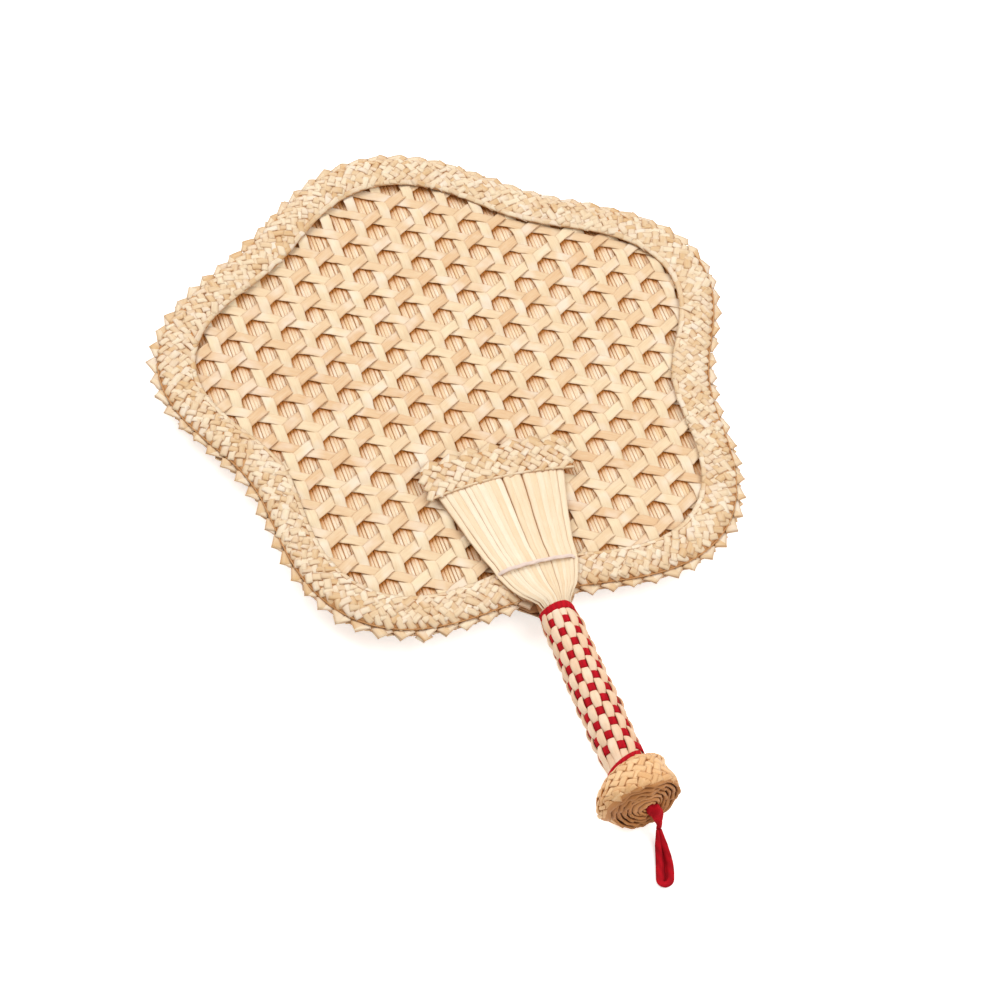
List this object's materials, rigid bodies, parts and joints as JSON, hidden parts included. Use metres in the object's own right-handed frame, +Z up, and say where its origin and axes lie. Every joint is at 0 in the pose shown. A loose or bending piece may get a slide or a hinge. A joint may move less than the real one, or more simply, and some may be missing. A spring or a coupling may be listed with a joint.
{
  "type": "woven hand fan",
  "caption": "Flat woven straw hand fan: a five-lobed leaf of three-way weave with a plaited toothed border, a bound grip, a rolled pommel and a hanging loop.",
  "frame": {"origin": "middle of the fan's bounding box without the loop and its knot, on the surface that it lies on", "axes": "+Y from the pommel to the tip of the leaf, +Z up out of the leaf's woven face, +X to the right seen from above"},
  "size_m": [0.3046, 0.4599, 0.0381],
  "materials": {
    "straw": "dry split leaf with fine lengthwise grain, satin",
    "pale_straw": "dry pale straw with fine lengthwise grain, satin",
    "border_straw": "plaited dry leaf, satin, lightly worn",
    "dark_straw": "plaited tan leaf, satin",
    "red_cord": "soft knitted cord, matte",
    "thread": "twisted cotton thread, matte"
  },
  "bodies": {
    "fan": {"rib_mat": "pale_straw", "upright_strip_01": "straw", "upright_strip_02": "straw", "upright_strip_03": "straw", "upright_strip_04": "straw", "upright_strip_05": "straw", "upright_strip_06": "straw", "upright_strip_07": "straw", "upright_strip_08": "straw", "upright_strip_09": "straw", "upright_strip_10": "straw", "upright_strip_11": "straw", "upright_strip_12": "straw", "upright_strip_13": "straw", "upright_strip_14": "straw", "upright_strip_15": "straw", "falling_strip_01": "straw", "falling_strip_02": "straw", "falling_strip_03": "straw", "falling_strip_04": "straw", "falling_strip_05": "straw", "falling_strip_06": "straw", "falling_strip_07": "straw", "falling_strip_08": "straw", "falling_strip_09": "straw", "falling_strip_10": "straw", "falling_strip_11": "straw", "falling_strip_12": "straw", "falling_strip_13": "straw", "falling_strip_14": "straw", "falling_strip_15": "straw", "falling_strip_16": "straw", "rising_strip_01": "straw", "rising_strip_02": "straw", "rising_strip_03": "straw", "rising_strip_04": "straw", "rising_strip_05": "straw", "rising_strip_06": "straw", "rising_strip_07": "straw", "rising_strip_08": "straw", "rising_strip_09": "straw", "rising_strip_10": "straw", "rising_strip_11": "straw", "rising_strip_12": "straw", "rising_strip_13": "straw", "rising_strip_14": "straw", "rising_strip_15": "straw", "rising_strip_16": "straw", "front_border": "border_straw", "back_border": "border_straw", "front_stalks": "pale_straw", "back_stalks": "pale_straw", "front_arc_braid": "border_straw", "back_arc_braid": "border_straw", "front_thread": "thread", "grip_warps": "straw", "grip_winding": "red_cord", "pommel_roll": "dark_straw", "loop_knot": "red_cord"},
    "loop": {"hang_loop": "red_cord"}
  },
  "joints": [
    {"name": "loop_swing", "type": "hinge", "parent": "fan", "child": "loop", "pos_m": [0.00838, -0.21875, 0.00954], "axis": [-1, 0, 0], "range_deg": [0, 90]}
  ]
}
